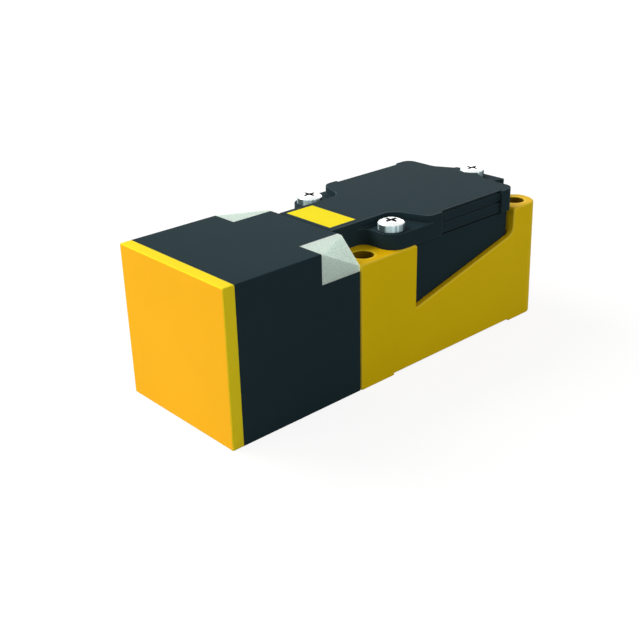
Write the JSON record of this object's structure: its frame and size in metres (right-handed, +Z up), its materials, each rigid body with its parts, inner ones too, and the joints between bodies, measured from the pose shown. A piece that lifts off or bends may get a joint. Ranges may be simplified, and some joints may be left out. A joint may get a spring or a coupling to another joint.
{
  "type": "inductive proximity sensor",
  "caption": "Block-shaped inductive proximity sensor: square sensing head that turns on a tray-shaped mounting base with a screwed terminal cover and threaded cable entry.",
  "frame": {"origin": "middle of the part's length and width, at the level of the mounting face under the feet", "axes": "+X along the length, from the sensing face to the cable entry; +Z up, away from the mounting face; Y across"},
  "size_m": [0.114, 0.04, 0.0406],
  "materials": {
    "face_yellow": "smooth moulded plastic",
    "base_yellow": "fine grained moulded plastic",
    "marker_yellow": "smooth blank plate",
    "black_plastic": "fine grained moulded plastic",
    "natural_plastic": "moulded plastic",
    "chip_plastic": "moulded package",
    "circuit_board": "varnished laminate",
    "resin": "cast resin",
    "lead_sleeve": "insulated lead",
    "lens_clear": "frosted light guide",
    "led_clear": "clear lamp",
    "ferrite": "sintered ferrite",
    "copper": "enamelled copper winding",
    "brass": "turned brass",
    "screw_steel": "bright plated steel",
    "spring_steel": "spring steel",
    "seal_rubber": "moulded rubber"
  },
  "bodies": {
    "base": {"mounting_base": "base_yellow", "terminal_chamber": "black_plastic", "lead_grommet": "seal_rubber", "lead_wires": "lead_sleeve", "terminal_block": "natural_plastic", "clamp_cages": "brass", "clamp_screws": "screw_steel", "threaded_inserts": "brass"},
    "head": {"sensing_face": "face_yellow", "head_housing": "black_plastic", "ferrite_core": "ferrite", "coil_bobbin": "natural_plastic", "coil_winding": "copper", "oscillator_board": "circuit_board", "board_chips": "chip_plastic", "led_board": "circuit_board", "status_leds": "led_clear", "potting_block": "resin", "head_seal": "seal_rubber", "lock_ring": "spring_steel", "corner_lens_left": "lens_clear", "corner_lens_right": "lens_clear"},
    "lid": {"cover": "black_plastic", "cover_gasket": "seal_rubber", "marker_plate": "marker_yellow"},
    "screw_front_left": {"cover_screw_front_left": "screw_steel"},
    "screw_front_right": {"cover_screw_front_right": "screw_steel"},
    "screw_rear": {"cover_screw_rear": "screw_steel"}
  },
  "joints": [
    {"name": "head_turn", "type": "hinge", "parent": "base", "child": "head", "pos_m": [-0.0165, 0, 0.02], "axis": [1, 0, 0], "range_deg": [-90, 180]},
    {"name": "cover_lift", "type": "slide", "parent": "base", "child": "lid", "axis": [0, 0, 1], "range_m": [0, 0.02]},
    {"name": "screw_front_left_turn", "type": "hinge", "parent": "lid", "child": "screw_front_left", "pos_m": [-0.0006, 0.0151, 0.03785], "axis": [0, 0, 1], "continuous": true},
    {"name": "screw_front_right_turn", "type": "hinge", "parent": "lid", "child": "screw_front_right", "pos_m": [-0.0006, -0.0151, 0.03785], "axis": [0, 0, 1], "continuous": true},
    {"name": "screw_rear_turn", "type": "hinge", "parent": "lid", "child": "screw_rear", "pos_m": [0.049, 0, 0.03785], "axis": [0, 0, 1], "continuous": true}
  ]
}
